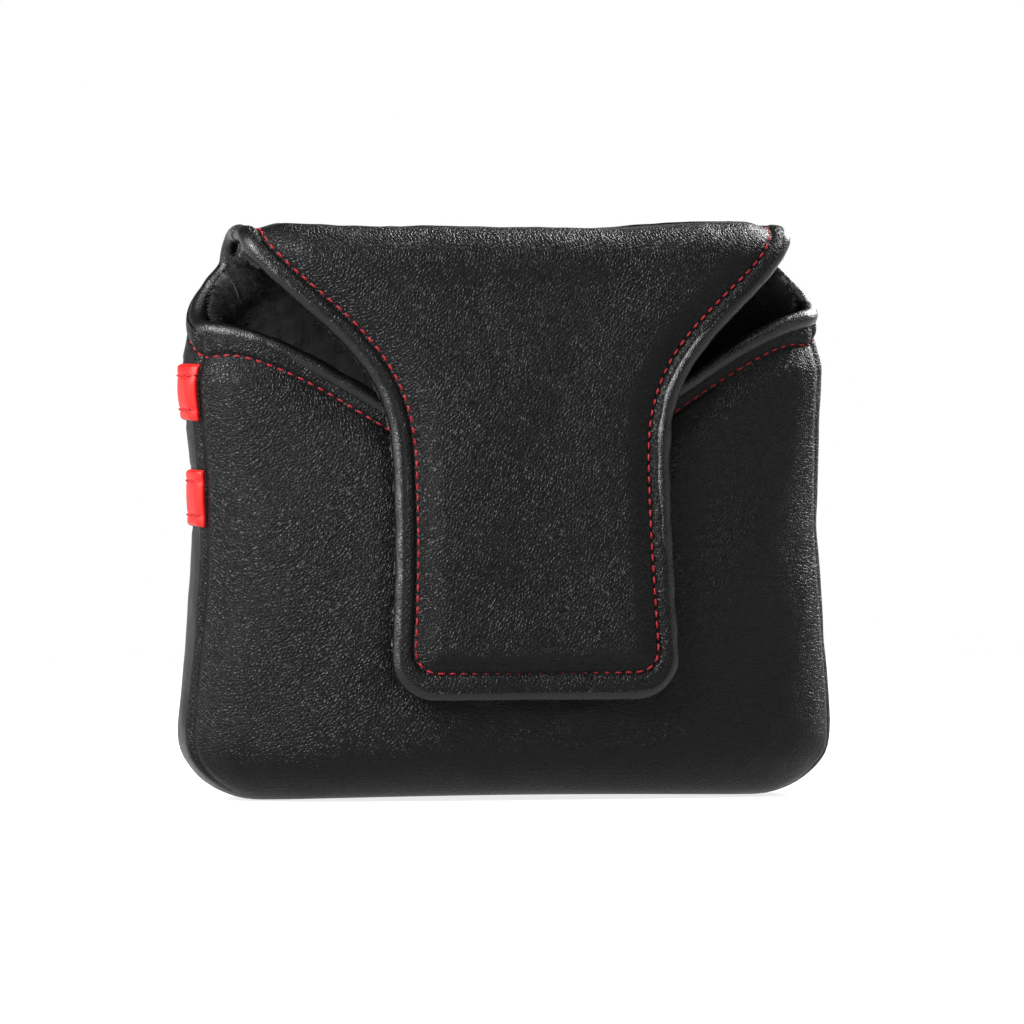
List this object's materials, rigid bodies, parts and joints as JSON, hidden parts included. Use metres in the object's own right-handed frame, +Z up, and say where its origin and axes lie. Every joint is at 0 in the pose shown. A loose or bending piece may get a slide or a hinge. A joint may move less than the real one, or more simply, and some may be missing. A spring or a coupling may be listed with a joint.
{
  "type": "putter head cover",
  "caption": "Padded slip-on pouch for a square mallet putter head, with slanted front bands and a T-shaped flap that folds over and closes on magnets.",
  "frame": {"origin": "centre of the whole cover's footprint, on the surface that its underside rests on", "axes": "+Z up from the closed underside to the flap's fold, +Y towards the flap side, -Y towards the striped front, +X to the right when the striped front is seen"},
  "size_m": [0.1416, 0.0528, 0.1227],
  "materials": {
    "black_leather": "satin, fine pebbled grain",
    "stripe_leather": "smooth satin",
    "piping_leather": "smooth semi-gloss",
    "plush": "short plush pile",
    "foam": "open-cell foam",
    "filler_cord": "twisted cotton",
    "thread": "bonded polyester thread",
    "magnet": "nickel plated"
  },
  "bodies": {
    "root": {"front_panel": "black_leather", "rear_panel": "black_leather", "front_padding": "foam", "rear_padding": "foam", "front_lining": "plush", "rear_lining": "plush", "upper_stripe": "stripe_leather", "lower_stripe": "stripe_leather", "mouth_piping": "piping_leather", "mouth_piping_cord": "filler_cord", "mouth_topstitch": "thread", "upper_stripe_stitching": "thread", "lower_stripe_stitching": "thread", "rear_magnet_left": "magnet", "rear_magnet_right": "magnet"},
    "flap_bridge": {"flap_bridge_panel": "black_leather", "flap_bridge_padding": "foam", "flap_bridge_lining": "plush", "flap_bridge_piping_left": "piping_leather", "flap_bridge_piping_right": "piping_leather", "flap_bridge_piping_cord_left": "filler_cord", "flap_bridge_piping_cord_right": "filler_cord", "flap_bridge_topstitch_left": "thread", "flap_bridge_topstitch_right": "thread"},
    "flap_tongue": {"flap_tongue_panel": "black_leather", "flap_tongue_padding": "foam", "flap_tongue_lining": "plush", "tongue_piping": "piping_leather", "tongue_piping_cord": "filler_cord", "tongue_topstitch": "thread", "tongue_magnet_left": "magnet", "tongue_magnet_right": "magnet"}
  },
  "joints": [
    {"name": "flap_lift", "type": "hinge", "parent": "root", "child": "flap_bridge", "pos_m": [0, -0.0172, 0.1145], "axis": [1, 0, 0], "range_deg": [0, 80]},
    {"name": "tongue_lift", "type": "hinge", "parent": "flap_bridge", "child": "flap_tongue", "pos_m": [0, 0.018, 0.1145], "axis": [1, 0, 0], "range_deg": [0, 90]}
  ]
}
